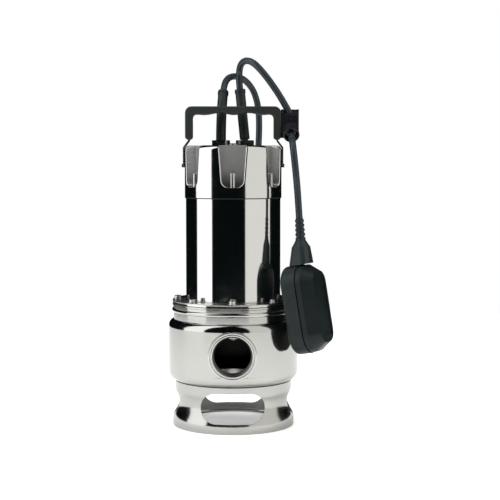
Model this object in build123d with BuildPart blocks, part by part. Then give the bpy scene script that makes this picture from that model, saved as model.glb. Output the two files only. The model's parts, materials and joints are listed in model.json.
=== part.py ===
from build123d import *
import os
from math import cos, pi, radians, sin, tan

os.makedirs("parts", exist_ok=True)

# Submersible sump pump, millimetres. Z is the shaft's axis, upwards, with z = 0 on the floor
# under the foot. The discharge port points along -Y, and the float switch hangs on the +X side.

# ---- driving dimensions ----
sheet = 1.5  # pressed stainless sheet
fit_gap = 0.05  # radial gap of pieces that are pushed or screwed together

foot_rim_radius = 76.0
foot_waist_radius = 69.8
foot_collar_radius = 73.0
foot_height = 56.3
window_bottom, window_top = 12.0, 49.0
front_window_width, side_window_width = 78.0, 38.0

casing_radius = 81.0
casing_wall = 2.0
casing_lip_radius = 72.5
casing_bottom, casing_side_bottom, casing_side_top = 57.1, 70.0, 124.5
neck_radius, neck_bottom, neck_top = 75.0, 134.0, 150.6
flange_radius, flange_bottom, flange_top = 76.0, 151.2, 153.2
plate_top = 60.0
suction_eye_radius = 27.5

port_height = 97.6
port_radius = 28.0
port_mouth = -91.0
port_root = -74.0
thread_radius = 22.42  # minor radius of a G 1 1/2 thread

bolt_circle_radius = 69.5
bolt_count = 8
bolt_radius = 2.5
bolt_head_radius = 4.25

motor_radius = 59.0
motor_top = 292.0
cap_radius = 60.3
cap_wall = 1.25
cap_bottom, cap_top = 285.0, 349.0
cap_corner = 6.0
flute_angles = [-90, -30, 30, 90, 150, 210]  # one faces the port, and none faces the handle's legs
flute_floor = 298.0
flute_back_radius = 45.0
flute_rim_radius = 2.0
rod_circle_radius = 53.0
rod_radius = 2.0
dome_nut_radius = 3.4
dome_nut_height = 17.0

shaft_bearing_low = 8.5  # 17 mm seat
shaft_bearing_high = 6.0  # 12 mm seat
rotor_radius, rotor_bottom, rotor_top = 27.0, 186.0, 256.0
stator_radius, stator_bore = 49.0, 27.4
impeller_radius, impeller_bottom, impeller_top = 56.0, 118.0, 137.5
vane_count = 6

handle_half_width = 59.5
handle_bottom, handle_top = 356.0, 397.5
handle_leg = 9.2
handle_depth = 22.0

gland_back = 17.0
power_gland_x, float_gland_x = -15.5, 14.6
gland_top = 356.0
sleeve_radius = 6.25
sleeve_mouth_radius = 6.85

cord_diameter = 8.4
cord_radius = cord_diameter / 2
cord_bore = cord_radius + fit_gap

float_length, float_width, float_depth = 108.0, 62.0, 40.0
float_centre = Vector(92, -50, 151)
float_up = Vector(-0.155, 0.075, 0.985).normalized()
float_face = Vector(0.8926, -0.4167, 0.1721).normalized()

coil_centre = Vector(-4, 281, 0)
coil_columns, coil_layers = 5, 6
coil_pitch = 8.5
coil_mean_radius = 50.5
coil_lift = 1.2  # the ties pass under the turns


# ---- shapes that are used more than once ----
def turned(outline, plane=Plane.XZ, axis=Axis.Z):
    """A solid of revolution from the corners (radius, height) of its half section."""
    with BuildPart() as piece:
        with BuildSketch(plane):
            with BuildLine():
                Polyline(*outline, close=True)
            make_face()
        revolve(axis=axis)
    return piece


def ring(inner, outer, low, high):
    with BuildPart() as piece:
        with BuildSketch(Plane.XY.offset(low)):
            Circle(outer)
            Circle(inner, mode=Mode.SUBTRACT)
        extrude(amount=high - low)
    return piece


def pins(radius, circle_radius, count, low, high, start=-90):
    """Round pins on a circle about Z, which are screws' shanks or, cut away, their holes."""
    with BuildPart() as piece:
        with BuildSketch(Plane.XY.offset(low)):
            with PolarLocations(circle_radius, count, start_angle=start):
                Circle(radius)
        extrude(amount=high - low)
    return piece.part


def corner_radii(points):
    """As large an arc at each corner of a cord's route as its two runs allow."""
    radii = []
    for before, corner, after in zip(points, points[1:], points[2:]):
        arriving, leaving = Vector(corner) - Vector(before), Vector(after) - Vector(corner)
        half_turn = radians(arriving.get_angle(leaving)) / 2
        radii.append(0.45 * min(arriving.length, leaving.length) / tan(half_turn))
    return radii


def cord(name, points, diameter):
    """A tube of straight runs and tangent arcs along a cord's route."""
    radii = corner_radii(points)
    with BuildPart() as tube:
        with BuildLine() as route:
            FilletPolyline(*points, radius=radii)
        path = route.wires()[0]
        with BuildSketch(Plane(origin=path @ 0, z_dir=path % 0)):
            Circle(diameter / 2)
        sweep(path=path)
    length = path.length
    share = tube.part.volume / (pi * diameter**2 / 4 * length)
    shown = ", ".join(f"{radius:.0f}" for radius in radii)
    print(f"{name}: length {length:.1f} mm, volume / (section x length) {share:.4f}, radii {shown}")
    return tube


def save(piece, name):
    piece.part.label = name
    export_step(piece.part, f"parts/{name}.step")


# ---- strainer foot: a waisted sheet ring on four legs, open below ----
with BuildPart() as strainer_base:
    with BuildSketch(Plane.XZ):
        with BuildLine():
            Line((foot_rim_radius, 0), (foot_rim_radius, 6))
            waist = [(75.2, 13), (70.4, 26), (foot_waist_radius, 32), (71.0, 40)]
            Spline(
                (foot_rim_radius, 6), *waist, (foot_collar_radius, 47), tangents=[(0, 1), (0, 1)]
            )
            Line((foot_collar_radius, 47), (foot_collar_radius, foot_height))
            Line((foot_collar_radius, foot_height), (61, foot_height))
            Line((61, foot_height), (61, foot_height - sheet))
            Line((61, foot_height - sheet), (foot_collar_radius - sheet, foot_height - sheet))
            Line((foot_collar_radius - sheet, foot_height - sheet), (foot_collar_radius - sheet, 47))
            Spline(
                (foot_collar_radius - sheet, 47),
                *[(radius - sheet, height) for radius, height in reversed(waist)],
                (foot_rim_radius - sheet, 6),
                tangents=[(0, -1), (0, -1)],
            )
            Line((foot_rim_radius - sheet, 6), (foot_rim_radius - sheet, 2.5))
            Line((foot_rim_radius - sheet, 2.5), (foot_rim_radius - 4, 2.5))
            Line((foot_rim_radius - 4, 2.5), (foot_rim_radius - 4, 0))
            Line((foot_rim_radius - 4, 0), (foot_rim_radius, 0))
        make_face()
    revolve(axis=Axis.Z)
    window_middle = (window_bottom + window_top) / 2
    window_height = window_top - window_bottom
    with BuildSketch(Plane.XZ):
        with Locations((0, window_middle)):
            RectangleRounded(front_window_width, window_height, window_height / 2 - 0.5)
    extrude(amount=100, both=True, mode=Mode.SUBTRACT)
    with BuildSketch(Plane.YZ):
        with Locations((0, window_middle)):
            RectangleRounded(side_window_width, window_height, window_height / 2 - 0.5)
    extrude(amount=100, both=True, mode=Mode.SUBTRACT)
    add(pins(bolt_radius + fit_gap, 66.5, 4, 50, 60, start=-45), mode=Mode.SUBTRACT)
save(strainer_base, "strainer_base")

with BuildPart() as base_screws:
    with BuildSketch(Plane.XY.offset(foot_height - sheet - 3.0)):
        with PolarLocations(66.5, 4, start_angle=-45):
            Circle(4.25)
    extrude(amount=3.0)
    with BuildSketch(Plane.XY.offset(foot_height - sheet)):
        with PolarLocations(66.5, 4, start_angle=-45):
            Circle(bolt_radius)
    extrude(amount=plate_top - foot_height + sheet)
    with BuildSketch(Plane.XY.offset(foot_height - sheet - 3.0)):
        with PolarLocations(66.5, 4, start_angle=-45):
            RegularPolygon(2.2, 6)
    extrude(amount=1.8, mode=Mode.SUBTRACT)
save(base_screws, "base_screws")

base_gasket = ring(63.5, 72.2, foot_height, casing_bottom)
with base_gasket:
    add(pins(bolt_radius + fit_gap, 66.5, 4, 50, 60, start=-45), mode=Mode.SUBTRACT)
save(base_gasket, "base_gasket")

# ---- suction plate: the casing's floor, with its raised eye ----
suction_plate = turned(
    [
        (suction_eye_radius, 64.0),
        (suction_eye_radius, casing_bottom),
        (casing_lip_radius - casing_wall - 0.1, casing_bottom),
        (casing_lip_radius - casing_wall - 0.1, plate_top),
        (suction_eye_radius + 6, plate_top),
        (suction_eye_radius + 2.5, 64.0),
    ]
)
with suction_plate:
    add(pins(bolt_radius + fit_gap, 66.5, 4, 50, 70, start=-45), mode=Mode.SUBTRACT)
save(suction_plate, "suction_plate")

# ---- pump casing: rounded drum, shoulder, neck with its bead, and flange ----
inner_radius = casing_radius - casing_wall
inner_lip = casing_lip_radius - casing_wall
with BuildPart() as pump_casing:
    with BuildSketch(Plane.XZ):
        with BuildLine():
            Line((inner_lip, casing_bottom), (casing_lip_radius, casing_bottom))
            ThreePointArc(
                (casing_lip_radius, casing_bottom), (78.9, 61.9), (casing_radius, casing_side_bottom)
            )
            Line((casing_radius, casing_side_bottom), (casing_radius, casing_side_top))
            ThreePointArc((casing_radius, casing_side_top), (79.2, 130.4), (neck_radius, neck_bottom))
            Line((neck_radius, neck_bottom), (neck_radius, 142))
            ThreePointArc((neck_radius, 142), (76.7, 144.75), (neck_radius, 147.5))
            Line((neck_radius, 147.5), (neck_radius, neck_top))
            Line((neck_radius, neck_top), (neck_radius - 0.7, flange_bottom))
            Line((neck_radius - 0.7, flange_bottom), (flange_radius, flange_bottom))
            Line((flange_radius, flange_bottom), (flange_radius, flange_top))
            Line((flange_radius, flange_top), (54, flange_top))
            Line((54, flange_top), (54, flange_bottom))
            Line((54, flange_bottom), (73, flange_bottom))
            Line((73, flange_bottom), (73, 143))
            Line((73, 143), (72.2, 143))
            Line((72.2, 143), (72.2, neck_bottom))
            ThreePointArc((72.2, neck_bottom), (77.0, 129.6), (inner_radius, casing_side_top))
            Line((inner_radius, casing_side_top), (inner_radius, casing_side_bottom))
            ThreePointArc((inner_radius, casing_side_bottom), (77.2, 63.5), (71.8, 60.4))
            Line((71.8, 60.4), (inner_lip, plate_top))
            Line((inner_lip, plate_top), (inner_lip, casing_bottom))
        make_face()
    revolve(axis=Axis.Z)
    with BuildSketch(Plane.XZ):
        with Locations((0, port_height)):
            Circle(port_radius + fit_gap)
    extrude(amount=100, mode=Mode.SUBTRACT)
    bolt_holes = pins(
        bolt_radius + fit_gap, bolt_circle_radius, bolt_count, flange_bottom - 1, flange_top + 1
    )
    add(bolt_holes, mode=Mode.SUBTRACT)
save(pump_casing, "pump_casing")

# ---- discharge port: a screwed collar let into the casing's front ----
with BuildPart() as discharge_port:
    with BuildSketch(Plane(origin=(0, port_root, port_height), z_dir=(0, -1, 0))):
        Circle(port_radius)
        Circle(thread_radius, mode=Mode.SUBTRACT)
    extrude(amount=port_root - port_mouth)
    mouth = discharge_port.faces().sort_by(Axis.Y)[0]
    outer_rim = mouth.edges().sort_by(SortBy.LENGTH)[-1]
    inner_rim = mouth.edges().sort_by(SortBy.LENGTH)[0]
    fillet(outer_rim, 2.2)
    chamfer(inner_rim, 1.6)
save(discharge_port, "discharge_port")

# ---- clamped joint between casing and motor ----
backing_ring = ring(58.0, 72.9, 145.1, flange_bottom)
with backing_ring:
    add(pins(bolt_radius + fit_gap, bolt_circle_radius, bolt_count, 140, 160), mode=Mode.SUBTRACT)
save(backing_ring, "backing_ring")

flange_gasket = ring(61.0, 75.4, flange_top, 154.0)
with flange_gasket:
    add(pins(bolt_radius + 0.2, bolt_circle_radius, bolt_count, 150, 160), mode=Mode.SUBTRACT)
save(flange_gasket, "flange_gasket")

clamp_ring = ring(motor_radius + 2.0, flange_radius, 155.5, 157.6)
with clamp_ring:
    fillet(clamp_ring.edges().group_by(Axis.Z)[-1].sort_by(SortBy.LENGTH)[-1], 0.7)
    add(pins(bolt_radius + fit_gap, bolt_circle_radius, bolt_count, 150, 160), mode=Mode.SUBTRACT)
save(clamp_ring, "clamp_ring")

head_base = 158.5
with BuildPart() as flange_screws:
    with BuildSketch(Plane.XY.offset(head_base)):
        with PolarLocations(bolt_circle_radius, bolt_count, start_angle=-90):
            Circle(bolt_head_radius)
    extrude(amount=3.5)
    fillet(flange_screws.edges().group_by(Axis.Z)[-1], 0.8)
    with BuildSketch(Plane.XY.offset(head_base + 1.7)):
        with PolarLocations(bolt_circle_radius, bolt_count, start_angle=-90):
            RegularPolygon(2.3, 6)
    extrude(amount=3, mode=Mode.SUBTRACT)
    with BuildSketch(Plane.XY.offset(145.2)):
        with PolarLocations(bolt_circle_radius, bolt_count, start_angle=-90):
            Circle(bolt_radius)
    extrude(amount=head_base - 145.2)
    with BuildSketch(Plane.XY.offset(157.6)):
        with PolarLocations(bolt_circle_radius, bolt_count, start_angle=-90):
            Circle(5.0)
    extrude(amount=head_base - 157.6)
save(flange_screws, "flange_screws")

# ---- oil chamber: seal plate below, lower bracket above ----
seal_plate = turned(
    [(13.05, 145.1), (13.05, 141.0), (9.5, 141.0), (9.5, 139.6), (17, 139.6), (17, 143.0)]
    + [(72.9, 143.0), (72.9, 145.1)]
)
save(seal_plate, "seal_plate")
seal_seat = ring(8.2, 13.0, 141.0, 145.1)
save(seal_seat, "seal_seat")

lower_bracket = turned(
    [(14.05, flange_top), (57.3, flange_top), (57.3, 164.0), (46.0, 164.0), (46.0, 158.2)]
    + [(27.0, 158.2), (27.0, 171.0), (20.02, 171.0), (20.02, 159.0), (10.5, 159.0)]
    + [(10.5, 157.5), (14.05, 157.5)]
)
with lower_bracket:
    add(pins(rod_radius + fit_gap, rod_circle_radius, 6, 155.5, 170), mode=Mode.SUBTRACT)
save(lower_bracket, "lower_bracket")
lip_seal = ring(7.06, 14.0, flange_top, 156.9)
save(lip_seal, "lip_seal")


# ---- ball bearings: a 6203 below and a 6201 above ----
def bearing_rings(low, width, inner, outer, pitch, ball):
    """One ring of a bearing, with its half of the raceway's groove."""
    half_ring = ring(inner, outer, low, low + width)
    with BuildPart() as groove:
        with BuildSketch(Plane.XZ):
            with Locations((pitch, low + width / 2)):
                Circle(ball + 0.05)
        revolve(axis=Axis.Z)
    with half_ring:
        add(groove.part, mode=Mode.SUBTRACT)
    return half_ring.part


def bearing_balls(name, low, width, pitch, ball):
    """Eight balls between the two thin rings of their cage."""
    middle = low + width / 2
    with BuildPart() as balls:
        with Locations((0, 0, middle)):
            with PolarLocations(pitch, 8):
                Sphere(ball)
        for cage_low in (middle - ball - 0.9, middle + ball + 0.1):
            with BuildSketch(Plane.XY.offset(cage_low)):
                Circle(pitch + 0.3 * ball)
                Circle(pitch - 0.3 * ball, mode=Mode.SUBTRACT)
            extrude(amount=0.8)
    save(balls, name)


lower_low, lower_width, lower_pitch, lower_ball = 159.0, 12.0, 14.25, 3.375
upper_low, upper_width, upper_pitch, upper_ball = 266.0, 10.0, 11.0, 2.975
with BuildPart() as bearing_outer_rings:
    add(bearing_rings(lower_low, lower_width, lower_pitch + 1.8, 20.0, lower_pitch, lower_ball))
    add(bearing_rings(upper_low, upper_width, upper_pitch + 1.6, 16.0, upper_pitch, upper_ball))
save(bearing_outer_rings, "bearing_outer_rings")
with BuildPart() as bearing_inner_rings:
    add(bearing_rings(lower_low, lower_width, shaft_bearing_low, lower_pitch - 1.8, lower_pitch, lower_ball))
    add(bearing_rings(upper_low, upper_width, shaft_bearing_high, upper_pitch - 1.6, upper_pitch, upper_ball))
save(bearing_inner_rings, "bearing_inner_rings")
bearing_balls("lower_bearing_balls", lower_low, lower_width, lower_pitch, lower_ball)
bearing_balls("upper_bearing_balls", upper_low, upper_width, upper_pitch, upper_ball)

# ---- rotor: shaft, core, end rings, impeller ----
shaft = turned(
    [(0, 105.0), (4.2, 105.0), (5.0, 106.0), (5.0, 117.0), (6.0, 117.0), (6.0, 139.0)]
    + [(7.0, 139.0), (7.0, 157.3), (shaft_bearing_low, 157.3), (shaft_bearing_low, 171.2)]
    + [(10.0, 171.2), (10.0, 265.8), (shaft_bearing_high, 265.8), (shaft_bearing_high, 277.5)]
    + [(5.2, 278.5), (0, 278.5)]
)
save(shaft, "shaft")
save(ring(10.0, rotor_radius, rotor_bottom, rotor_top), "rotor_core")
with BuildPart() as rotor_end_rings:
    for low in (rotor_bottom - 6, rotor_top):
        with BuildSketch(Plane.XY.offset(low)):
            Circle(rotor_radius - 0.6)
            Circle(17, mode=Mode.SUBTRACT)
        extrude(amount=6)
save(rotor_end_rings, "rotor_end_rings")

with BuildPart() as seal_rotating_ring:
    with BuildSketch(Plane.XY.offset(145.15)):
        Circle(11.8)
        Circle(7.0, mode=Mode.SUBTRACT)
    extrude(amount=4.2)
    with BuildSketch(Plane.XY.offset(149.35)):
        Circle(10.6)
        Circle(7.0, mode=Mode.SUBTRACT)
    extrude(amount=3.4)
save(seal_rotating_ring, "seal_rotating_ring")

vane_arc = ThreePointArc((8, 0), (34, 8), (53, 0))
with BuildPart() as impeller:
    with BuildSketch(Plane.XY.offset(134.0)):
        Circle(impeller_radius)
    extrude(amount=impeller_top - 134.0)
    with BuildSketch(Plane.XY.offset(117.2)):
        Circle(11.5)
    extrude(amount=impeller_top - 117.2)
    with BuildSketch(Plane.XY.offset(impeller_bottom)):
        with PolarLocations(0, vane_count):
            SlotArc(vane_arc, 4.2)
    extrude(amount=134.2 - impeller_bottom)
    with BuildSketch(Plane.XY.offset(110)):
        Circle(6.0)
    extrude(amount=40, mode=Mode.SUBTRACT)
save(impeller, "impeller")

with BuildPart() as impeller_nut:
    with BuildSketch(Plane.XY.offset(107.5)):
        RegularPolygon(9.8, 6)
    extrude(amount=9.5)
    with BuildSketch(Plane.XY.offset(107.5)):
        Circle(5.0)
    extrude(amount=9.5, mode=Mode.SUBTRACT)
save(impeller_nut, "impeller_nut")

# ---- stator and its frame ----
with BuildPart() as stator_core:
    with BuildSketch(Plane.XY.offset(rotor_bottom)):
        Circle(stator_radius)
        Circle(stator_bore, mode=Mode.SUBTRACT)
        with PolarLocations(35.5, 24):
            SlotOverall(12, 4.4, mode=Mode.SUBTRACT)
    extrude(amount=rotor_top - rotor_bottom)
save(stator_core, "stator_core")

with BuildPart() as stator_windings:
    for low, high in ((rotor_bottom - 19, rotor_bottom), (rotor_top, rotor_top + 13)):
        with BuildSketch(Plane.XY.offset(low)):
            Circle(44.5)
            Circle(29.0, mode=Mode.SUBTRACT)
        extrude(amount=high - low)
    with BuildSketch(Plane.XY.offset(rotor_bottom)):
        with PolarLocations(35.5, 24):
            SlotOverall(11.6, 4.0)
    extrude(amount=rotor_top - rotor_bottom)
save(stator_windings, "stator_windings")
save(ring(stator_radius + fit_gap, 50.3, 164.0, 270.0), "motor_frame")

upper_bracket = turned(
    [(16.02, 266.0), (20.5, 266.0), (20.5, 270.0), (57.2, 270.0), (57.2, 274.0), (20.5, 274.0)]
    + [(20.5, 282.0), (0, 282.0), (0, 279.4), (8.5, 279.4), (8.5, 276.0), (16.02, 276.0)]
)
with upper_bracket:
    add(pins(rod_radius + 0.15, rod_circle_radius, 6, 265, 275), mode=Mode.SUBTRACT)
save(upper_bracket, "upper_bracket")

with BuildPart() as tie_rods:
    with BuildSketch(Plane.XY.offset(155.8)):
        with PolarLocations(rod_circle_radius, 6, start_angle=-90):
            Circle(rod_radius)
    extrude(amount=309 - 155.8)
save(tie_rods, "tie_rods")

with BuildPart() as dome_nuts:
    with BuildSketch(Plane.XY.offset(flute_floor)):
        with PolarLocations(rod_circle_radius, 6, start_angle=-90):
            Circle(dome_nut_radius)
    extrude(amount=dome_nut_height + 1.0)
    fillet(dome_nuts.edges().group_by(Axis.Z)[-1], dome_nut_radius - 0.3)
    add(pins(rod_radius + fit_gap, rod_circle_radius, 6, flute_floor - 1, 309), mode=Mode.SUBTRACT)
save(dome_nuts, "dome_nuts")

# ---- motor housing: the polished tube, with a foot flange under the clamp ring ----
with BuildPart() as motor_housing:
    with BuildSketch(Plane.XZ):
        with BuildLine():
            Line((motor_radius - sheet, 154.0), (flange_radius - 0.6, 154.0))
            Line((flange_radius - 0.6, 154.0), (flange_radius - 0.6, 155.5))
            Line((flange_radius - 0.6, 155.5), (motor_radius + 1.8, 155.5))
            RadiusArc((motor_radius + 1.8, 155.5), (motor_radius, 157.3), -1.8)
            Line((motor_radius, 157.3), (motor_radius, motor_top))
            Line((motor_radius, motor_top), (motor_radius - sheet, motor_top))
            Line((motor_radius - sheet, motor_top), (motor_radius - sheet, 154.0))
        make_face()
    revolve(axis=Axis.Z)
    add(pins(bolt_radius + fit_gap, bolt_circle_radius, bolt_count, 150, 160), mode=Mode.SUBTRACT)
save(motor_housing, "motor_housing")


# ---- motor cap: a pressed cup with six flutes, each with a tie rod's nut in it ----
def flute_prisms(grow):
    """The six flutes as U-shaped prisms that widen upwards, made larger all round by grow."""
    back = flute_back_radius - grow
    with BuildPart() as prisms:
        for angle in flute_angles:
            outward = Vector(cos(radians(angle)), sin(radians(angle)), 0)
            sideways = Vector(-outward.Y, outward.X, 0)
            with BuildSketch(Plane(origin=outward * back, x_dir=sideways, z_dir=outward)) as outline:
                with BuildLine():
                    Polyline(
                        (-12.5 - grow, flute_floor - grow),
                        (12.5 + grow, flute_floor - grow),
                        (16.9 + grow, cap_top + 8),
                        (-16.9 - grow, cap_top + 8),
                        close=True,
                    )
                make_face()
                fillet(outline.vertices().group_by(Axis.Y)[0], 9.0 + grow)
            extrude(amount=30)
    return prisms.part


def is_flute_rim(edge):
    """True for the outer edges of a flute, and false for its back corners and the cap's own circles."""
    points = [edge @ share for share in (0.25, 0.5, 0.75)]
    at_rim = all((point.X**2 + point.Y**2) ** 0.5 > flute_back_radius + 2.5 for point in points)
    is_ring = edge.geom_type == GeomType.CIRCLE and edge.bounding_box().size.Z < 0.001
    return at_rim and not is_ring and edge.center().Z > cap_bottom + 1


with BuildPart() as cap_hollow:
    with BuildSketch(Plane.XY.offset(cap_bottom - 5)):
        Circle(cap_radius - cap_wall)
    extrude(amount=cap_top - cap_wall - cap_bottom + 5)
    fillet(cap_hollow.edges().group_by(Axis.Z)[-1], cap_corner - cap_wall)
    add(flute_prisms(cap_wall), mode=Mode.SUBTRACT)

with BuildPart() as motor_cap:
    with BuildSketch(Plane.XY.offset(cap_bottom)):
        Circle(cap_radius)
    extrude(amount=cap_top - cap_bottom)
    fillet(motor_cap.edges().group_by(Axis.Z)[-1], cap_corner)
    add(flute_prisms(0), mode=Mode.SUBTRACT)
    rims = motor_cap.edges().filter_by(is_flute_rim)
    fillet(rims, flute_rim_radius)
    add(cap_hollow.part, mode=Mode.SUBTRACT)
    for gland_x in (power_gland_x, float_gland_x):
        with BuildSketch(Plane.XY.offset(cap_top - 5)):
            with Locations((gland_x, gland_back)):
                Circle(8.0 + fit_gap)
        extrude(amount=10, mode=Mode.SUBTRACT)
    with BuildSketch(Plane.XY.offset(cap_top - 5)):
        Circle(3.0 + fit_gap)
    extrude(amount=10, mode=Mode.SUBTRACT)
    add(pins(rod_radius + fit_gap, rod_circle_radius, 6, 290, flute_floor + 1), mode=Mode.SUBTRACT)
save(motor_cap, "motor_cap")
save(ring(motor_radius + 0.02, cap_radius - 0.15, cap_bottom - 1.2, cap_bottom), "cap_seal_ring")

with BuildPart() as fill_screw:
    with BuildSketch(Plane.XY.offset(cap_top)):
        Circle(5.0)
    extrude(amount=3.0)
    fillet(fill_screw.edges().group_by(Axis.Z)[-1], 1.2)
    with BuildSketch(Plane.XY.offset(cap_top - 7)):
        Circle(3.0)
    extrude(amount=7)
save(fill_screw, "fill_screw")

# ---- electrical pieces in the cap ----
with BuildPart() as capacitor:
    with BuildSketch(Plane.XY.offset(282.2)):
        with Locations((13, -16)):
            Circle(15)
    extrude(amount=50)
    fillet(capacitor.edges().group_by(Axis.Z)[-1], 1.5)
save(capacitor, "capacitor")

with BuildPart() as terminal_block:
    with BuildSketch(Plane.XY.offset(282.2)):
        with Locations((-19, -10)):
            Rectangle(14, 30)
    extrude(amount=14)
    fillet(terminal_block.edges().filter_by(Axis.Z), 1.0)
save(terminal_block, "terminal_block")


# ---- cable glands in the cap's roof, each with a locknut under it ----
gland_bore = 5.7
gland_places = [(power_gland_x, gland_back), (float_gland_x, gland_back)]
with BuildPart() as cable_glands:
    with BuildSketch(Plane.XY.offset(cap_top)):
        with Locations(*gland_places):
            RegularPolygon(11.4, 6)
    extrude(amount=gland_top - cap_top)
    with BuildSketch(Plane.XY.offset(340)):
        with Locations(*gland_places):
            Circle(8.0)
    extrude(amount=cap_top - 340)
    with BuildSketch(Plane.XY.offset(335)):
        with Locations(*gland_places):
            Circle(gland_bore)
    extrude(amount=30, mode=Mode.SUBTRACT)
save(cable_glands, "cable_glands")

with BuildPart() as gland_locknuts:
    with BuildSketch(Plane.XY.offset(342.0)):
        with Locations(*gland_places):
            RegularPolygon(12.0, 6)
            Circle(8.0 + fit_gap, mode=Mode.SUBTRACT)
    extrude(amount=cap_top - cap_wall - 342.0)
save(gland_locknuts, "gland_locknuts")

# The power cord's sleeve bends back in an arc, and the float cord's stands nearly straight.
sleeve_length = 66.0
power_sleeve_bend = radians(38)
power_heading = Vector(0.12, 0.993, 0).normalized()
bend_radius = sleeve_length / power_sleeve_bend
power_root = Vector(power_gland_x, gland_back, gland_top)
power_exit = (
    power_root
    + power_heading * (bend_radius * (1 - cos(power_sleeve_bend)))
    + Vector(0, 0, bend_radius * sin(power_sleeve_bend))
)
power_way_out = power_heading * sin(power_sleeve_bend) + Vector(0, 0, cos(power_sleeve_bend))
power_middle = (
    power_root
    + power_heading * (bend_radius * (1 - cos(power_sleeve_bend / 2)))
    + Vector(0, 0, bend_radius * sin(power_sleeve_bend / 2))
)
with BuildPart() as power_sleeve:
    with BuildLine() as sleeve_arc:
        ThreePointArc(power_root, power_middle, power_exit)
    with BuildSketch(Plane.XY.offset(gland_top)):
        with Locations((power_gland_x, gland_back)):
            Circle(sleeve_radius)
    sweep(path=sleeve_arc.line)
    with BuildSketch(Plane(origin=power_exit, z_dir=power_way_out)):
        Circle(sleeve_mouth_radius)
    extrude(amount=-4.0)
    with BuildSketch(Plane.XY.offset(gland_top)):
        with Locations((power_gland_x, gland_back)):
            Circle(cord_bore)
    sweep(path=sleeve_arc.line, mode=Mode.SUBTRACT)


float_exit = Vector(8.3, 30.0, 419.5)
float_root = Vector(float_gland_x, gland_back, gland_top)
float_way_out = (float_exit - float_root).normalized()
sleeve_start = float_root + float_way_out * 1.8
with BuildPart() as float_sleeve:
    with BuildSketch(Plane(origin=sleeve_start, z_dir=float_way_out)):
        Circle(sleeve_radius)
    extrude(amount=(float_exit - sleeve_start).length)
    with BuildSketch(Plane(origin=float_exit, z_dir=float_way_out)):
        Circle(sleeve_mouth_radius)
    extrude(amount=-4.0)
    with BuildSketch(Plane(origin=float_exit, z_dir=float_way_out)):
        Circle(cord_bore)
    extrude(amount=-80, mode=Mode.SUBTRACT)

with BuildPart() as cord_sleeves:
    add(power_sleeve.part)
    add(float_sleeve.part)
save(cord_sleeves, "cord_sleeves")

# The cords' ends inside the sleeves and glands.
with BuildPart() as inner_leads:
    with BuildLine() as lead_line:
        Line(power_root - Vector(0, 0, 22), power_root)
        ThreePointArc(power_root, power_middle, power_exit)
    with BuildSketch(Plane.XY.offset(gland_top - 22)):
        with Locations((power_gland_x, gland_back)):
            Circle(cord_radius)
    sweep(path=lead_line.line)
    with BuildSketch(Plane(origin=float_exit, z_dir=float_way_out)):
        Circle(cord_radius)
    extrude(amount=-72)
save(inner_leads, "inner_leads")

# ---- handle: a moulded grip on two steel straps ----
bar = 10.0
leg_inside = handle_half_width - handle_leg
with BuildPart() as handle_grip:
    with BuildSketch(Plane.XZ):
        with BuildLine():
            Line((-handle_half_width + 2.5, handle_bottom), (-leg_inside - 2.5, handle_bottom))
            Line((-leg_inside - 2.5, handle_bottom), (-leg_inside, handle_bottom + 2.5))
            Line((-leg_inside, handle_bottom + 2.5), (-leg_inside, handle_top - bar - 4.4))
            RadiusArc(
                (-leg_inside, handle_top - bar - 4.4), (-leg_inside + 4.4, handle_top - bar), 4.4
            )
            Spline(
                (-leg_inside + 4.4, handle_top - bar),
                (-35, 387.0),
                (-14.5, 389.6),
                (0, 387.0),
                (17, 389.6),
                (38, 387.0),
                (leg_inside - 4.4, handle_top - bar),
                tangents=[(1, 0), (1, 0)],
            )
            RadiusArc(
                (leg_inside - 4.4, handle_top - bar), (leg_inside, handle_top - bar - 4.4), 4.4
            )
            Line((leg_inside, handle_top - bar - 4.4), (leg_inside, handle_bottom + 2.5))
            Line((leg_inside, handle_bottom + 2.5), (leg_inside + 2.5, handle_bottom))
            Line((leg_inside + 2.5, handle_bottom), (handle_half_width - 2.5, handle_bottom))
            Line((handle_half_width - 2.5, handle_bottom), (handle_half_width, handle_bottom + 2.5))
            Line((handle_half_width, handle_bottom + 2.5), (handle_half_width, handle_top - 8))
            RadiusArc((handle_half_width, handle_top - 8), (handle_half_width - 8, handle_top), -8)
            Line((handle_half_width - 8, handle_top), (-handle_half_width + 8, handle_top))
            RadiusArc((-handle_half_width + 8, handle_top), (-handle_half_width, handle_top - 8), -8)
            Line((-handle_half_width, handle_top - 8), (-handle_half_width, handle_bottom + 2.5))
            Line((-handle_half_width, handle_bottom + 2.5), (-handle_half_width + 2.5, handle_bottom))
        make_face()
    extrude(amount=handle_depth / 2, both=True)
    for side in (-1, 1):
        with BuildSketch(Plane.XY.offset(handle_bottom - 5)):
            with Locations((side * 54.9, 0)):
                Rectangle(2.1, 17.1)
        extrude(amount=34, mode=Mode.SUBTRACT)
save(handle_grip, "handle_grip")


# Steel strips run from the grip's legs, out round the cap's shoulder and down its sides.
with BuildPart() as handle_straps:
    for side in (-1, 1):
        with BuildSketch(Plane.XZ):
            with BuildLine():
                Polyline(
                    (side * 53.9, 385.0),
                    (side * 53.9, 354.8),
                    (side * (cap_radius + 0.05), 346.0),
                    (side * (cap_radius + 0.05), 322.0),
                    (side * (cap_radius + 3.4), 322.0),
                    (side * (cap_radius + 3.4), 326.0),
                    (side * (cap_radius + 2.05), 327.0),
                    (side * (cap_radius + 2.05), 346.8),
                    (side * 55.9, 355.4),
                    (side * 55.9, 385.0),
                    close=True,
                )
            make_face()
        extrude(amount=8.5, both=True)
save(handle_straps, "handle_straps")

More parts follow.
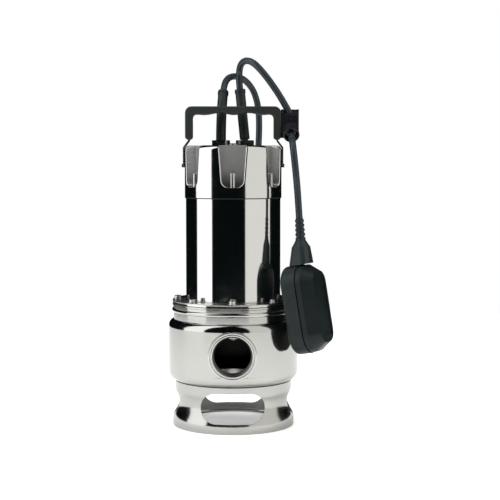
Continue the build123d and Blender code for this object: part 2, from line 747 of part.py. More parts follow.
# ---- cable clip on the handle's right leg, with its bell mouth facing forwards and down ----
mouth_way = Vector(0.05, -0.85, -0.52).normalized()
mouth_rim = Vector(72.0, -19.0, 361.5)
swing_pivot = mouth_rim + mouth_way * 8
clip_left, clip_right, clip_low, clip_high = handle_half_width, 81.5, 358.6, 393.7
clip_entry = Vector(70.8, -2.5, 388.0)
clip_entry_way = Vector(-0.48, -0.07, 0.87).normalized()
with BuildPart() as cable_clip:
    with BuildSketch(Plane.XY.offset(clip_low)):
        with Locations(((clip_left + clip_right) / 2, 0)):
            RectangleRounded(clip_right - clip_left, 20, 1.5)
    extrude(amount=clip_high - clip_low)
    with BuildSketch(Plane(origin=mouth_rim, z_dir=mouth_way)):
        Circle(10.0)
    extrude(amount=-15)
    with BuildSketch(Plane(origin=mouth_rim, z_dir=mouth_way)):
        Circle(8.8)
    extrude(amount=-5.5, taper=28, mode=Mode.SUBTRACT)
    with BuildSketch(Plane.YZ.offset(clip_left + 4)):
        with BuildLine():
            Polyline((-10.5, 386.0), (-10.5, 394.5), (-3.0, 394.5), (-3.0, 392.6), close=True)
        make_face()
    extrude(amount=clip_right - clip_left - 6, mode=Mode.SUBTRACT)
    with BuildSketch(Plane(origin=clip_entry, z_dir=clip_entry_way)):
        Circle(cord_bore)
    extrude(amount=30, mode=Mode.SUBTRACT)
save(cable_clip, "cable_clip")

# ---- float: two half shells, neck, ribbed strain relief, and the switch inside ----
float_plane = Plane(
    origin=float_centre, x_dir=float_up.cross(float_face), z_dir=float_face
)
seam = 0.5
with BuildPart() as float_shell_front:
    with BuildSketch(float_plane.offset(seam)):
        RectangleRounded(float_width - 2, float_length - 2, 24)
    extrude(amount=6.0)
    with BuildSketch(float_plane.offset(seam + 6.0)):
        RectangleRounded(float_width - 2, float_length - 2, 24)
    extrude(amount=float_depth / 2 - seam - 6.0, taper=36)
    with BuildSketch(float_plane.offset(float_depth / 2 - 1.0)):
        RectangleRounded(30, 70, 2)
    extrude(amount=5, mode=Mode.SUBTRACT)
    with BuildSketch(float_plane.offset(seam)):
        RectangleRounded(float_width - 8, float_length - 8, 21)
    extrude(amount=5.0, mode=Mode.SUBTRACT)
    with BuildSketch(float_plane.offset(seam + 5.0)):
        RectangleRounded(float_width - 8, float_length - 8, 21)
    extrude(amount=float_depth / 2 - seam - 5.0 - 3.2, taper=36, mode=Mode.SUBTRACT)
save(float_shell_front, "float_shell_front")

with BuildPart() as float_shell_back:
    with BuildSketch(float_plane.offset(-seam)):
        RectangleRounded(float_width, float_length, 25)
    extrude(amount=-(float_depth / 2 - seam))
    fillet(float_shell_back.faces().sort_by(Axis(float_centre, float_face))[0].edges(), 5)
    with BuildSketch(float_plane.offset(-seam)):
        RectangleRounded(float_width - 6, float_length - 6, 22)
    extrude(amount=-(float_depth / 2 - seam - 2.6), mode=Mode.SUBTRACT)
save(float_shell_back, "float_shell_back")


def in_float(x, y, z):
    """A point of the float's own frame: across it, along it towards the neck, and out of its face."""
    return float_plane.from_local_coords(Vector(x, y, z))


neck_foot = in_float(0, float_length / 2 + 0.1, 0)
relief_low = Vector(82.7, -42.6, 233.5)
relief_high = Vector(81.0, -41.5, 261.0)
relief_up = (relief_high - relief_low).normalized()
neck_shoulder = relief_low - relief_up * 7.5
with BuildPart() as float_neck:
    with BuildSketch(Plane(origin=neck_foot, x_dir=float_plane.x_dir, z_dir=float_up)):
        RectangleRounded(27, 27, 9)
    with BuildSketch(Plane(origin=neck_shoulder, x_dir=float_plane.x_dir, z_dir=relief_up)):
        RectangleRounded(21.5, 21.5, 9)
    loft()
    with BuildSketch(Plane(origin=neck_shoulder, z_dir=relief_up)):
        Circle(10.7)
    extrude(amount=7.5, taper=30)
save(float_neck, "float_neck")

rib_pitch = 7.0
with BuildPart() as float_strain_relief:
    with BuildSketch(Plane(origin=relief_low, z_dir=relief_up)):
        Circle(5.3)
    extrude(amount=(relief_high - relief_low).length)
    for rib in range(4):
        with BuildSketch(Plane(origin=relief_low + relief_up * (rib * rib_pitch + 2.0), z_dir=relief_up)):
            Circle(6.3)
        extrude(amount=3.4)
save(float_strain_relief, "float_strain_relief")

# The switch works by a steel ball that rolls along a channel and tips a lever onto a button.
ball_radius = 9.0
with BuildPart() as float_ball:
    with Locations(in_float(0, -30, -3)):
        Sphere(ball_radius)
save(float_ball, "float_ball")

with BuildPart() as ball_channel:
    with BuildSketch(Plane(origin=in_float(0, -41.5, -3), x_dir=float_plane.x_dir, z_dir=float_up)):
        Circle(11.0)
    extrude(amount=48)
    with BuildSketch(Plane(origin=in_float(0, -39.6, -3), x_dir=float_plane.x_dir, z_dir=float_up)):
        Circle(ball_radius + 0.3)
    extrude(amount=60, mode=Mode.SUBTRACT)
save(ball_channel, "ball_channel")

with BuildPart() as float_switch:
    with BuildSketch(float_plane.offset(-12.5)):
        with Locations((0, 33)):
            Rectangle(20, 14)
    extrude(amount=8.0)
save(float_switch, "float_switch")

with BuildPart() as switch_lever:
    with BuildSketch(float_plane.offset(-2.6)):
        with Locations((0, 24)):
            Rectangle(12, 30)
    extrude(amount=1.2)
save(switch_lever, "switch_lever")

# ---- free cords ----
float_cord_upper_route = [
    float_exit,
    float_exit + float_way_out * 11,
    (7.2, 31.2, 442.3),
    (9.4, 25.0, 451.8),
    (15.5, 16.5, 456.0),
    (24.5, 8.0, 453.0),
    (34.5, 1.0, 442.8),
    (46.5, -3.0, 427.5),
    clip_entry + clip_entry_way * 21,
    clip_entry,
]
float_cord_upper = cord("float_cord_upper", float_cord_upper_route, cord_diameter)
save(float_cord_upper, "float_cord_upper")

# The cord's last stub inside the bell stays with the clip, and the float's cord swings below it.
with BuildPart() as float_cord_link:
    with BuildSketch(Plane(origin=swing_pivot - mouth_way * 4.5, z_dir=mouth_way)):
        Circle(cord_radius)
    extrude(amount=-8.9)
save(float_cord_link, "float_cord_link")

float_cord_lower_route = [
    swing_pivot,
    swing_pivot + mouth_way * 11,
    (74.0, -42.9, 340.0),
    (76.4, -45.0, 318.4),
    relief_high + relief_up * 28,
    relief_high,
]
float_cord_lower = cord("float_cord_lower", float_cord_lower_route, cord_diameter)
save(float_cord_lower, "float_cord_lower")

coil_outer_turn = coil_mean_radius + (coil_columns - 1) / 2 * coil_pitch
coil_height = coil_lift + cord_diameter * coil_layers + 0.4
coil_top_turn = coil_height - cord_radius - 0.2
power_cord_route = [
    power_exit,
    power_exit + power_way_out * 13,
    (-7.2, 60.6, 437.2),
    (3.0, 76.5, 440.5),
    (16.2, 90.1, 435.0),
    (27.3, 100.1, 420.4),
    (33.2, 104.9, 395.7),
    (33.0, 105.4, 357.7),
    (29.5, 104.0, 315.0),
    (25.0, 103.5, 262.0),
    (23.0, 107.0, 208.0),
    (27.0, 118.0, 158.0),
    (37.0, 141.0, 115.0),
    (49.0, 177.0, 82.0),
    (59.0, 222.0, 61.5),
    (coil_centre.X + coil_outer_turn, 258.0, coil_top_turn + 3.0),
]
power_cord = cord("power_cord", power_cord_route, cord_diameter)
save(power_cord, "power_cord")

with BuildPart() as power_cord_coil:
    with BuildSketch():
        with Locations((coil_centre.X, coil_centre.Y)):
            Circle(coil_outer_turn + cord_radius)
            Circle(coil_mean_radius * 2 - coil_outer_turn - cord_radius, mode=Mode.SUBTRACT)
    extrude(amount=coil_height)
save(power_cord_coil, "power_cord_coil")
turn_length = 2 * pi * coil_mean_radius
print(f"coil: {coil_columns * coil_layers} turns, {coil_columns * coil_layers * turn_length / 1000:.2f} m")

# Two ties round the coil's bundle, one each side.
tie = 1.1
with BuildPart() as coil_ties:
    for side in (-1, 1):
        tie_middle = (coil_centre.X + side * coil_mean_radius, coil_centre.Y + 5, 0)
        with BuildSketch(Plane(origin=tie_middle, x_dir=(1, 0, 0), z_dir=(0, -1, 0))):
            with Locations((0, (coil_height + tie) / 2)):
                Rectangle(coil_pitch * coil_columns + 2 * tie, coil_height + tie)
                Rectangle(coil_pitch * coil_columns, coil_height - tie, mode=Mode.SUBTRACT)
        extrude(amount=10)
save(coil_ties, "coil_ties")

plug_height = 19.3
plug_back = 376.0
tail_height = coil_lift + cord_radius
power_cord_tail_route = [
    (coil_centre.X + coil_outer_turn, 302.0, tail_height),
    (62.0, 328.0, tail_height),
    (51.0, 352.0, 7.5),
    (33.0, 369.0, 13.5),
    (10.0, plug_back, plug_height),
]
power_cord_tail = cord("power_cord_tail", power_cord_tail_route, cord_diameter)
save(power_cord_tail, "power_cord_tail")

# ---- mains plug, lying behind the coil with its pins towards -X ----
tail_end, tail_before = Vector(power_cord_tail_route[-1]), Vector(power_cord_tail_route[-2])
plug_way = (tail_end - tail_before).normalized()
with BuildPart() as plug_body:
    with BuildSketch(Plane(origin=tail_end, z_dir=plug_way)):
        Circle(5.4)
    with BuildSketch(Plane(origin=(-18, plug_back, plug_height), z_dir=(-1, 0, 0))):
        Circle(9.0)
    loft()
    with BuildSketch(Plane(origin=(-18, plug_back, plug_height), z_dir=(-1, 0, 0))):
        Circle(9.0)
    with BuildSketch(Plane(origin=(-30, plug_back, plug_height), z_dir=(-1, 0, 0))):
        Circle(18.0)
    loft()
    with BuildSketch(Plane(origin=(-30, plug_back, plug_height), z_dir=(-1, 0, 0))):
        Circle(19.0)
    extrude(amount=27)
    with BuildSketch(Plane(origin=(-57, plug_back, plug_height), z_dir=(1, 0, 0))):
        with Locations((0, 9.5), (0, -9.5)):
            Circle(3.0 + fit_gap)
    extrude(amount=12, mode=Mode.SUBTRACT)
save(plug_body, "plug_body")

with BuildPart() as plug_pins:
    with BuildSketch(Plane(origin=(-45.2, plug_back, plug_height), z_dir=(-1, 0, 0))):
        with Locations((0, 9.5), (0, -9.5)):
            Circle(3.0)
    extrude(amount=11.8)
    with BuildSketch(Plane(origin=(-57, plug_back, plug_height), z_dir=(-1, 0, 0))):
        with Locations((0, 9.5), (0, -9.5)):
            Circle(2.4)
    extrude(amount=19)
    fillet(plug_pins.edges().group_by(Axis.X)[0], 2.0)
save(plug_pins, "plug_pins")
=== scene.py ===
import json
import math

import bmesh
import bpy
from mathutils import Matrix, Vector


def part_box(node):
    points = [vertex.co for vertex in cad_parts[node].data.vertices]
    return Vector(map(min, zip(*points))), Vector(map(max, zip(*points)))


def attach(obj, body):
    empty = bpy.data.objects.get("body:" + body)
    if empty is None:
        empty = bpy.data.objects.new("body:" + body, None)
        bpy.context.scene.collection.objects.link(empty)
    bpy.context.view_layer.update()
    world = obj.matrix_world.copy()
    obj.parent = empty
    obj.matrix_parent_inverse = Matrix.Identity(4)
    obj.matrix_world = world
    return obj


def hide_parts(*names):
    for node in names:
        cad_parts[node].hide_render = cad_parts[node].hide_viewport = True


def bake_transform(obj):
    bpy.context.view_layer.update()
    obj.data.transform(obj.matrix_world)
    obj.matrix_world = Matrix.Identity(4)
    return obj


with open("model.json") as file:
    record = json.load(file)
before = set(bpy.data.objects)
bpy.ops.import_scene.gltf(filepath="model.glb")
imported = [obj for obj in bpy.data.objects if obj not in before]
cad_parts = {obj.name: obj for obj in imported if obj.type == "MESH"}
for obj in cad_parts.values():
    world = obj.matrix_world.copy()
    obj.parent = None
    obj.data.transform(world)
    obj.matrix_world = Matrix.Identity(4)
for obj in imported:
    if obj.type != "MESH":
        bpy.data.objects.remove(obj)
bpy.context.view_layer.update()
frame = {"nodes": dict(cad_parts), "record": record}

mm = 0.001
nodes = frame["nodes"]
scene = bpy.context.scene
print("frame loaded,", len(nodes), "CAD nodes")


# camera, background and light
camera = {
    "place": (0.021, -1.600, 0.330),
    "pitch": -3.98,  # degrees, downwards
    "lens": 92.16,
    "sensor": 36.0,
}
cameraData = bpy.data.cameras.new("camera")
cameraData.lens = camera["lens"]
cameraData.sensor_width = camera["sensor"]
cameraObject = bpy.data.objects.new("camera", cameraData)
cameraObject.location = camera["place"]
cameraObject.rotation_euler = (math.radians(90 + camera["pitch"]), 0, 0)
scene.collection.objects.link(cameraObject)
scene.camera = cameraObject

# helpers for node trees
def addNode(tree, kind, **settings):
    node = tree.nodes.new(kind)
    for name, value in settings.items():
        setattr(node, name, value)
    return node


def fill(node, **values):
    for name, value in values.items():
        node.inputs[name].default_value = value
    return node


def maths(tree, operation, first, second=None):
    node = addNode(tree, "ShaderNodeMath", operation=operation)
    for socket, value in zip(node.inputs, (first, second)):
        if value is None:
            continue
        if isinstance(value, bpy.types.NodeSocket):
            tree.links.new(value, socket)
        else:
            socket.default_value = value
    return node.outputs[0]


def band(tree, value, low, high, soft):
    rise = addNode(tree, "ShaderNodeMapRange", interpolation_type="SMOOTHSTEP")
    rise.inputs["From Min"].default_value = low - soft
    rise.inputs["From Max"].default_value = low + soft
    tree.links.new(value, rise.inputs["Value"])
    fall = addNode(tree, "ShaderNodeMapRange", interpolation_type="SMOOTHSTEP")
    fall.inputs["From Min"].default_value = high - soft
    fall.inputs["From Max"].default_value = high + soft
    fall.inputs["To Min"].default_value = 1
    fall.inputs["To Max"].default_value = 0
    tree.links.new(value, fall.inputs["Value"])
    return maths(tree, "MULTIPLY", rise.outputs["Result"], fall.outputs["Result"])


studio = {
    "backdrop": (1.0, 1.0, 1.0),
    "dark": (0.003, 0.0045, 0.005),
    "panels": [  # azimuth from the front, to the right, and height, in degrees
        {"from": -97, "to": -52, "low": -40, "high": 82, "colour": (1.0, 1.0, 1.0), "power": 1.55},
        {"from": 30, "to": 101, "low": -40, "high": 82, "colour": (1.0, 0.985, 0.945), "power": 0.92},
    ],
    "edge": 1.6,
    "key": {"place": (-0.5, -0.7, 1.7), "size": 1.6, "power": 22},
    "top": {"place": (0.3, 0.5, 2.0), "size": 2.2, "power": 30},
}
world = bpy.data.worlds.new("studio")
scene.world = world
world.use_nodes = True
tree = world.node_tree
tree.nodes.clear()
direction = addNode(tree, "ShaderNodeTexCoord")
parts = addNode(tree, "ShaderNodeSeparateXYZ")
tree.links.new(direction.outputs["Generated"], parts.inputs[0])
ahead = maths(tree, "MULTIPLY", parts.outputs["Y"], -1)
azimuth = maths(tree, "DEGREES", maths(tree, "ARCTAN2", parts.outputs["X"], ahead))
height = maths(tree, "DEGREES", maths(tree, "ARCSINE", parts.outputs["Z"]))
light = addNode(tree, "ShaderNodeCombineXYZ")
fill(light, X=studio["dark"][0], Y=studio["dark"][1], Z=studio["dark"][2])
total = light.outputs[0]
for panel in studio["panels"]:
    across = band(tree, azimuth, panel["from"], panel["to"], studio["edge"])
    upright = band(tree, height, panel["low"], panel["high"], studio["edge"] * 4)
    inside = maths(tree, "MULTIPLY", maths(tree, "MULTIPLY", across, upright), panel["power"])
    tint = addNode(tree, "ShaderNodeVectorMath", operation="SCALE")
    tint.inputs[0].default_value = panel["colour"]
    tree.links.new(inside, tint.inputs["Scale"])
    both = addNode(tree, "ShaderNodeVectorMath", operation="ADD")
    tree.links.new(total, both.inputs[0])
    tree.links.new(tint.outputs[0], both.inputs[1])
    total = both.outputs[0]
reflected = addNode(tree, "ShaderNodeBackground")
tree.links.new(total, reflected.inputs["Color"])
seen = addNode(tree, "ShaderNodeBackground")
seen.inputs["Color"].default_value = (*studio["backdrop"], 1)
rays = addNode(tree, "ShaderNodeLightPath")
choice = addNode(tree, "ShaderNodeMixShader")
tree.links.new(rays.outputs["Is Camera Ray"], choice.inputs[0])
tree.links.new(reflected.outputs[0], choice.inputs[1])
tree.links.new(seen.outputs[0], choice.inputs[2])
worldOutput = addNode(tree, "ShaderNodeOutputWorld")
tree.links.new(choice.outputs[0], worldOutput.inputs["Surface"])
scene.view_settings.view_transform = "Standard"

for name in ("key", "top"):
    lamp = studio[name]
    lampData = bpy.data.lights.new(name, "AREA")
    lampData.shape = "DISK"
    lampData.size = lamp["size"]
    lampData.energy = lamp["power"]
    lampObject = bpy.data.objects.new(name, lampData)
    lampObject.location = lamp["place"]
    toPump = Vector((0, 0, 0.15)) - Vector(lamp["place"])
    lampObject.rotation_mode = "QUATERNION"
    lampObject.rotation_quaternion = toPump.to_track_quat("-Z", "Y")
    lampObject.visible_glossy = False
    lampObject.visible_camera = False
    scene.collection.objects.link(lampObject)
print("camera and light set")


# cords
cordSettings = {
    "diameter": 0.0084,
    "sides": 5,  # bevel resolution, 24 faces round
    "steps": 6,
}
cordRadius = cordSettings["diameter"] / 2


def makeCord(name, route, body, steps):
    curve = bpy.data.curves.new(name, "CURVE")
    curve.dimensions = "3D"
    curve.bevel_depth = 1  # each point's radius sets the thickness
    curve.bevel_resolution = cordSettings["sides"]
    curve.resolution_u = steps
    curve.use_fill_caps = True
    spline = curve.splines.new("NURBS")
    spline.points.add(len(route) - 1)
    for point, place in zip(spline.points, route):
        point.co = (*place, 1)
        point.radius = cordRadius
    spline.order_u = 3
    spline.use_endpoint_u = True
    piece = bpy.data.objects.new(name, curve)
    scene.collection.objects.link(piece)
    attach(piece, body)
    return piece


sleeveBend = math.radians(38)
powerHeading = Vector((0.12, 0.993, 0)).normalized()
bendRadius = 0.066 / sleeveBend
powerRoot = Vector((-0.0155, 0.017, 0.356))
powerExit = powerRoot + powerHeading * (bendRadius * (1 - math.cos(sleeveBend)))
powerExit += Vector((0, 0, bendRadius * math.sin(sleeveBend)))
powerWayOut = powerHeading * math.sin(sleeveBend) + Vector((0, 0, math.cos(sleeveBend)))
powerRoute = [
    powerExit,
    powerExit + powerWayOut * 0.013,
    Vector((-0.0072, 0.0606, 0.4372)),
    Vector((0.0030, 0.0765, 0.4405)),
    Vector((0.0162, 0.0901, 0.4350)),
    Vector((0.0273, 0.1001, 0.4204)),
    Vector((0.0332, 0.1049, 0.3957)),
    Vector((0.0330, 0.1054, 0.3577)),
    Vector((0.0295, 0.1040, 0.3150)),
    Vector((0.0250, 0.1035, 0.2620)),
    Vector((0.0230, 0.1070, 0.2080)),
    Vector((0.0270, 0.1180, 0.1580)),
    Vector((0.0370, 0.1410, 0.1150)),
    Vector((0.0490, 0.1770, 0.0820)),
    Vector((0.0590, 0.2220, 0.0615)),
    Vector((0.0635, 0.2580, 0.0506)),
]

# The put-away length: layers of turns, wound from the top outer turn down to the bottom outer one.
coil = {
    "centre": Vector((-0.004, 0.281, 0)),
    "outer": 0.0675,
    "top": 0.0476,
    "pitch": 0.0085,
    "columns": 5,
    "layers": 6,
    "perTurn": 12,
}


def coilRoute():
    step = 2 * math.pi / coil["perTurn"]
    pull = (3 + math.cos(step)) / 4  # how far inside its points the spline runs
    places = []
    column, inwards, layer, sector = 0, 1, 0, 0
    shift = coil["perTurn"] - 1
    while sector < coil["perTurn"] * coil["columns"] * coil["layers"]:
        radius = (coil["outer"] - column * coil["pitch"]) / pull
        turn = Matrix.Rotation(sector * step, 4, "Z")
        place = coil["centre"] + turn @ Vector((radius, 0, 0))
        place.z = coil["top"] - layer * coil["pitch"]
        places.append(place)
        atEdge = column == (coil["columns"] - 1 if inwards > 0 else 0) and sector > 0
        here = sector % coil["perTurn"]
        if not atEdge and here == shift:
            column += inwards
        elif atEdge and layer < coil["layers"] - 1 and here == (shift - 1) % coil["perTurn"]:
            layer += 1
            inwards = -inwards
            shift = (shift - 2) % coil["perTurn"]
        sector += 1
    return places


tailRoute = [
    Vector((0.0635, 0.3020, 0.0054)),
    Vector((0.0620, 0.3280, 0.0054)),
    Vector((0.0510, 0.3520, 0.0075)),
    Vector((0.0330, 0.3690, 0.0135)),
    Vector((0.0100, 0.3760, 0.0193)),
]
powerCord = makeCord("powerCord", powerRoute + coilRoute() + tailRoute, "pump_body", 5)
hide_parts("power_cord", "power_cord_coil", "power_cord_tail")

floatExit = Vector((0.0083, 0.0300, 0.4195))
floatWayOut = (floatExit - Vector((0.0146, 0.017, 0.356))).normalized()
clipEntry = Vector((0.0708, -0.0025, 0.3880))
clipEntryWay = Vector((-0.48, -0.07, 0.87)).normalized()
upperRoute = [
    floatExit,
    floatExit + floatWayOut * 0.011,
    Vector((0.0072, 0.0312, 0.4423)),
    Vector((0.0094, 0.0250, 0.4518)),
    Vector((0.0155, 0.0165, 0.4560)),
    Vector((0.0245, 0.0080, 0.4530)),
    Vector((0.0345, 0.0010, 0.4428)),
    Vector((0.0465, -0.0030, 0.4275)),
    clipEntry + clipEntryWay * 0.021,
    clipEntry,
]
floatCordUpper = makeCord("floatCordUpper", upperRoute, "pump_body", cordSettings["steps"] * 2)
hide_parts("float_cord_upper")

mouthWay = Vector((0.05, -0.85, -0.52)).normalized()
mouthRim = Vector((0.072, -0.019, 0.3615))
swingPivot = mouthRim + mouthWay * 0.008
reliefLow = Vector((0.0827, -0.0426, 0.2335))
reliefHigh = Vector((0.0810, -0.0415, 0.2610))
reliefUp = (reliefHigh - reliefLow).normalized()
lowerRoute = [
    swingPivot,
    swingPivot + mouthWay * 0.011,
    Vector((0.0740, -0.0429, 0.3400)),
    Vector((0.0764, -0.0450, 0.3184)),
    reliefHigh + reliefUp * 0.028,
    reliefHigh,
]
floatCordLower = makeCord("floatCordLower", lowerRoute, "float", cordSettings["steps"] * 2)
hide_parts("float_cord_lower")

print("cords made")

# floor
floor = {"radius": 1.25, "glow": 0.4}
floorMesh = bpy.data.meshes.new("floor")
floorBuild = bmesh.new()
bmesh.ops.create_circle(floorBuild, cap_ends=True, radius=floor["radius"], segments=128)
floorBuild.to_mesh(floorMesh)
floorBuild.free()
floorObject = bpy.data.objects.new("floor", floorMesh)
scene.collection.objects.link(floorObject)

# pieces made new
def finishMesh(name, build, sharp=35):
    bmesh.ops.remove_doubles(build, verts=build.verts, dist=1e-7)
    bmesh.ops.recalc_face_normals(build, faces=build.faces)
    mesh = bpy.data.meshes.new(name)
    build.to_mesh(mesh)
    build.free()
    mesh.shade_smooth()
    mesh.set_sharp_from_angle(angle=math.radians(sharp))
    piece = bpy.data.objects.new(name, mesh)
    scene.collection.objects.link(piece)
    return piece


def placing(centre, way):  # stands a shape made along +Z at centre, along way
    turn = Vector((0, 0, 1)).rotation_difference(Vector(way)).to_matrix().to_4x4()
    return Matrix.Translation(Vector(centre)) @ turn


def latheRing(name, profile, rounding, segments, centre, way):
    build = bmesh.new()
    corners = [build.verts.new((radius * mm, 0, along * mm)) for radius, along in profile]
    for first, second in zip(corners, corners[1:] + corners[:1]):
        build.edges.new((first, second))
    for corner, size in rounding.items():
        bmesh.ops.bevel(
            build, geom=[corners[corner]], offset=size * mm, offset_type="OFFSET",
            segments=4, profile=0.5, affect="VERTICES", material=-1,
        )
    bmesh.ops.spin(
        build, geom=build.verts[:] + build.edges[:], cent=(0, 0, 0), axis=(0, 0, 1),
        dvec=(0, 0, 0), angle=2 * math.pi, steps=segments, use_merge=True, use_duplicate=False,
    )
    bmesh.ops.transform(build, matrix=placing(centre, way), verts=build.verts)
    return finishMesh(name, build)


collar = {
    "root": (0, -0.074, 0.0976),
    "way": (0, -1, 0),
    "outer": 28.0,  # millimetres, like the rest of the profile
    "lip": 29.4,
    "lipBack": 11.6,
    "depth": 17.0,
    "rim": 1.2,
    "crest": 22.42,
    "valley": 23.75,
    "threadPitch": 2.309,
    "threads": 6,
    "segments": 128,
}
collarProfile = [
    (collar["outer"], 0), (collar["outer"], collar["lipBack"] - 0.6),
    (collar["lip"], collar["lipBack"]), (collar["lip"], collar["depth"]), (27.2, 17.0), (26.8, 15.4),
    (26.3, 15.4), (25.9, 16.8), (24.5, 16.8), (23.2, 15.4),
]
for thread in range(collar["threads"]):
    start = 15.0 - thread * collar["threadPitch"]
    collarProfile += [(collar["valley"], start), (collar["crest"], start - collar["threadPitch"] / 2)]
collarProfile.append((collar["crest"], 0))
dischargeCollar = latheRing(
    "dischargeCollar", collarProfile, {2: 0.6, 3: collar["rim"], 4: 0.5, 7: 0.5, 8: 0.5},
    collar["segments"], collar["root"], collar["way"],
)
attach(dischargeCollar, "pump_body")
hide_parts("discharge_port")

relief = {
    "ribs": 5,
    "outer": 6.25,
    "waist": 5.1,
    "bore": 3.3,
    "ribShare": 0.58,
    "segments": 64,
}
reliefLength = (reliefHigh - reliefLow).length / mm
ribPitch = reliefLength / relief["ribs"]
reliefProfile = [(relief["bore"], 0)]
for rib in range(relief["ribs"]):
    foot = rib * ribPitch
    slim = 1 - 0.03 * rib
    reliefProfile += [
        (relief["outer"] * slim, foot), (relief["outer"] * slim, foot + ribPitch * relief["ribShare"]),
        (relief["waist"] * slim, foot + ribPitch * (relief["ribShare"] + 0.06)),
        (relief["waist"] * slim, foot + ribPitch * 0.98),
    ]
reliefProfile.append((relief["bore"], reliefLength))
reliefRounding = {corner: 0.55 for corner in range(1, len(reliefProfile) - 1) if corner % 4 in (1, 2)}
strainRelief = latheRing(
    "strainRelief", reliefProfile, reliefRounding, relief["segments"], reliefLow, reliefUp
)
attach(strainRelief, "float")
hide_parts("float_strain_relief")

bend = {"half": 0.0065, "radius": 0.00426, "loops": 14, "sides": 32}
bendBuild = bmesh.new()
bmesh.ops.create_circle(bendBuild, cap_ends=False, radius=bend["radius"], segments=bend["sides"])
rim = bendBuild.edges[:]
for step in range(bend["loops"]):
    grown = bmesh.ops.extrude_edge_only(bendBuild, edges=rim)["geom"]
    rim = [item for item in grown if isinstance(item, bmesh.types.BMEdge)]
    grownVerts = [item for item in grown if isinstance(item, bmesh.types.BMVert)]
    bmesh.ops.translate(bendBuild, verts=grownVerts, vec=(0, 0, 2 * bend["half"] / bend["loops"]))
bmesh.ops.holes_fill(bendBuild, edges=bendBuild.edges, sides=0)
bendStart = swingPivot - mouthWay * bend["half"]
bmesh.ops.transform(bendBuild, matrix=placing(bendStart, mouthWay), verts=bendBuild.verts)
floatCordBend = finishMesh("floatCordBend", bendBuild, 60)
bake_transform(floatCordBend)
grip = {  # the handle's moulded edges, rounded
    "voxel": 0.0009,
    "passes": 12,
    "strength": 0.5,
}
gripBuild = bmesh.new()
gripBuild.from_mesh(nodes["handle_grip"].data)
carryHandle = finishMesh("carryHandle", gripBuild, 180)
evenSkin = carryHandle.modifiers.new("evenSkin", "REMESH")
evenSkin.mode = "VOXEL"
evenSkin.voxel_size = grip["voxel"]
evenSkin.use_smooth_shade = True
rounded = carryHandle.modifiers.new("rounded", "SMOOTH")
rounded.factor = grip["strength"]
rounded.iterations = grip["passes"]
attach(carryHandle, "pump_body")
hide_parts("handle_grip")
print("collar, strain relief, cord bend and handle made")

# node groups that several finishes share
def newGroup(name, inputs, outputs):
    group = bpy.data.node_groups.new(name, "ShaderNodeTree")
    for label, kind, value in inputs:
        socket = group.interface.new_socket(label, in_out="INPUT", socket_type=kind)
        if value is not None:
            socket.default_value = value
    for label, kind in outputs:
        group.interface.new_socket(label, in_out="OUTPUT", socket_type=kind)
    return group, group.nodes.new("NodeGroupInput"), group.nodes.new("NodeGroupOutput")


floatSocket, vectorSocket, colourSocket = "NodeSocketFloat", "NodeSocketVector", "NodeSocketColor"


def buildMouldedGrain():  # the fine spark-eroded grain of moulded plastic and rubber
    group, entry, leave = newGroup(
        "mouldedGrain",
        [("Vector", vectorSocket, None), ("Scale", floatSocket, 900.0), ("Pits", floatSocket, 0.5)],
        [("Height", floatSocket)],
    )
    noise = fill(addNode(group, "ShaderNodeTexNoise"), Detail=3.0, Roughness=0.6)
    cells = addNode(group, "ShaderNodeTexVoronoi")
    group.links.new(entry.outputs["Vector"], noise.inputs["Vector"])
    group.links.new(entry.outputs["Scale"], noise.inputs["Scale"])
    group.links.new(entry.outputs["Vector"], cells.inputs["Vector"])
    group.links.new(entry.outputs["Scale"], cells.inputs["Scale"])
    pits = maths(group, "MULTIPLY", cells.outputs["Distance"], entry.outputs["Pits"])
    group.links.new(maths(group, "ADD", noise.outputs["Fac"], pits), leave.inputs["Height"])
    return group


def buildDrawnLines():  # fine lines left by rolling, spinning or turning, along two of the three axes
    group, entry, leave = newGroup(
        "drawnLines",
        [("Vector", vectorSocket, None), ("Scale", floatSocket, 1.0), ("Breaks", floatSocket, 0.35)],
        [("Height", floatSocket), ("Mask", floatSocket)],
    )
    fine = fill(addNode(group, "ShaderNodeTexNoise"), Detail=4.0, Roughness=0.7)
    group.links.new(entry.outputs["Vector"], fine.inputs["Vector"])
    group.links.new(entry.outputs["Scale"], fine.inputs["Scale"])
    broad = fill(addNode(group, "ShaderNodeTexNoise"), Detail=1.0)
    group.links.new(entry.outputs["Vector"], broad.inputs["Vector"])
    fourth = maths(group, "MULTIPLY", entry.outputs["Scale"], 0.23)
    group.links.new(fourth, broad.inputs["Scale"])
    mask = maths(group, "GREATER_THAN", broad.outputs["Fac"], entry.outputs["Breaks"])
    group.links.new(maths(group, "MULTIPLY", fine.outputs["Fac"], mask), leave.inputs["Height"])
    group.links.new(fine.outputs["Fac"], leave.inputs["Mask"])
    return group


def buildWipedSheen():  # cloudy patches where a surface has been handled and wiped
    group, entry, leave = newGroup(
        "wipedSheen",
        [
            ("Vector", vectorSocket, None), ("Scale", floatSocket, 18.0),
            ("Low", floatSocket, 0.1), ("High", floatSocket, 0.2),
        ],
        [("Roughness", floatSocket)],
    )
    cloud = fill(addNode(group, "ShaderNodeTexNoise"), Detail=5.0, Roughness=0.55, Distortion=0.4)
    group.links.new(entry.outputs["Vector"], cloud.inputs["Vector"])
    group.links.new(entry.outputs["Scale"], cloud.inputs["Scale"])
    spread = fill(addNode(group, "ShaderNodeMapRange", interpolation_type="SMOOTHSTEP"))
    spread.inputs["From Min"].default_value = 0.35
    spread.inputs["From Max"].default_value = 0.68
    group.links.new(cloud.outputs["Fac"], spread.inputs["Value"])
    group.links.new(entry.outputs["Low"], spread.inputs["To Min"])
    group.links.new(entry.outputs["High"], spread.inputs["To Max"])
    group.links.new(spread.outputs["Result"], leave.inputs["Roughness"])
    return group


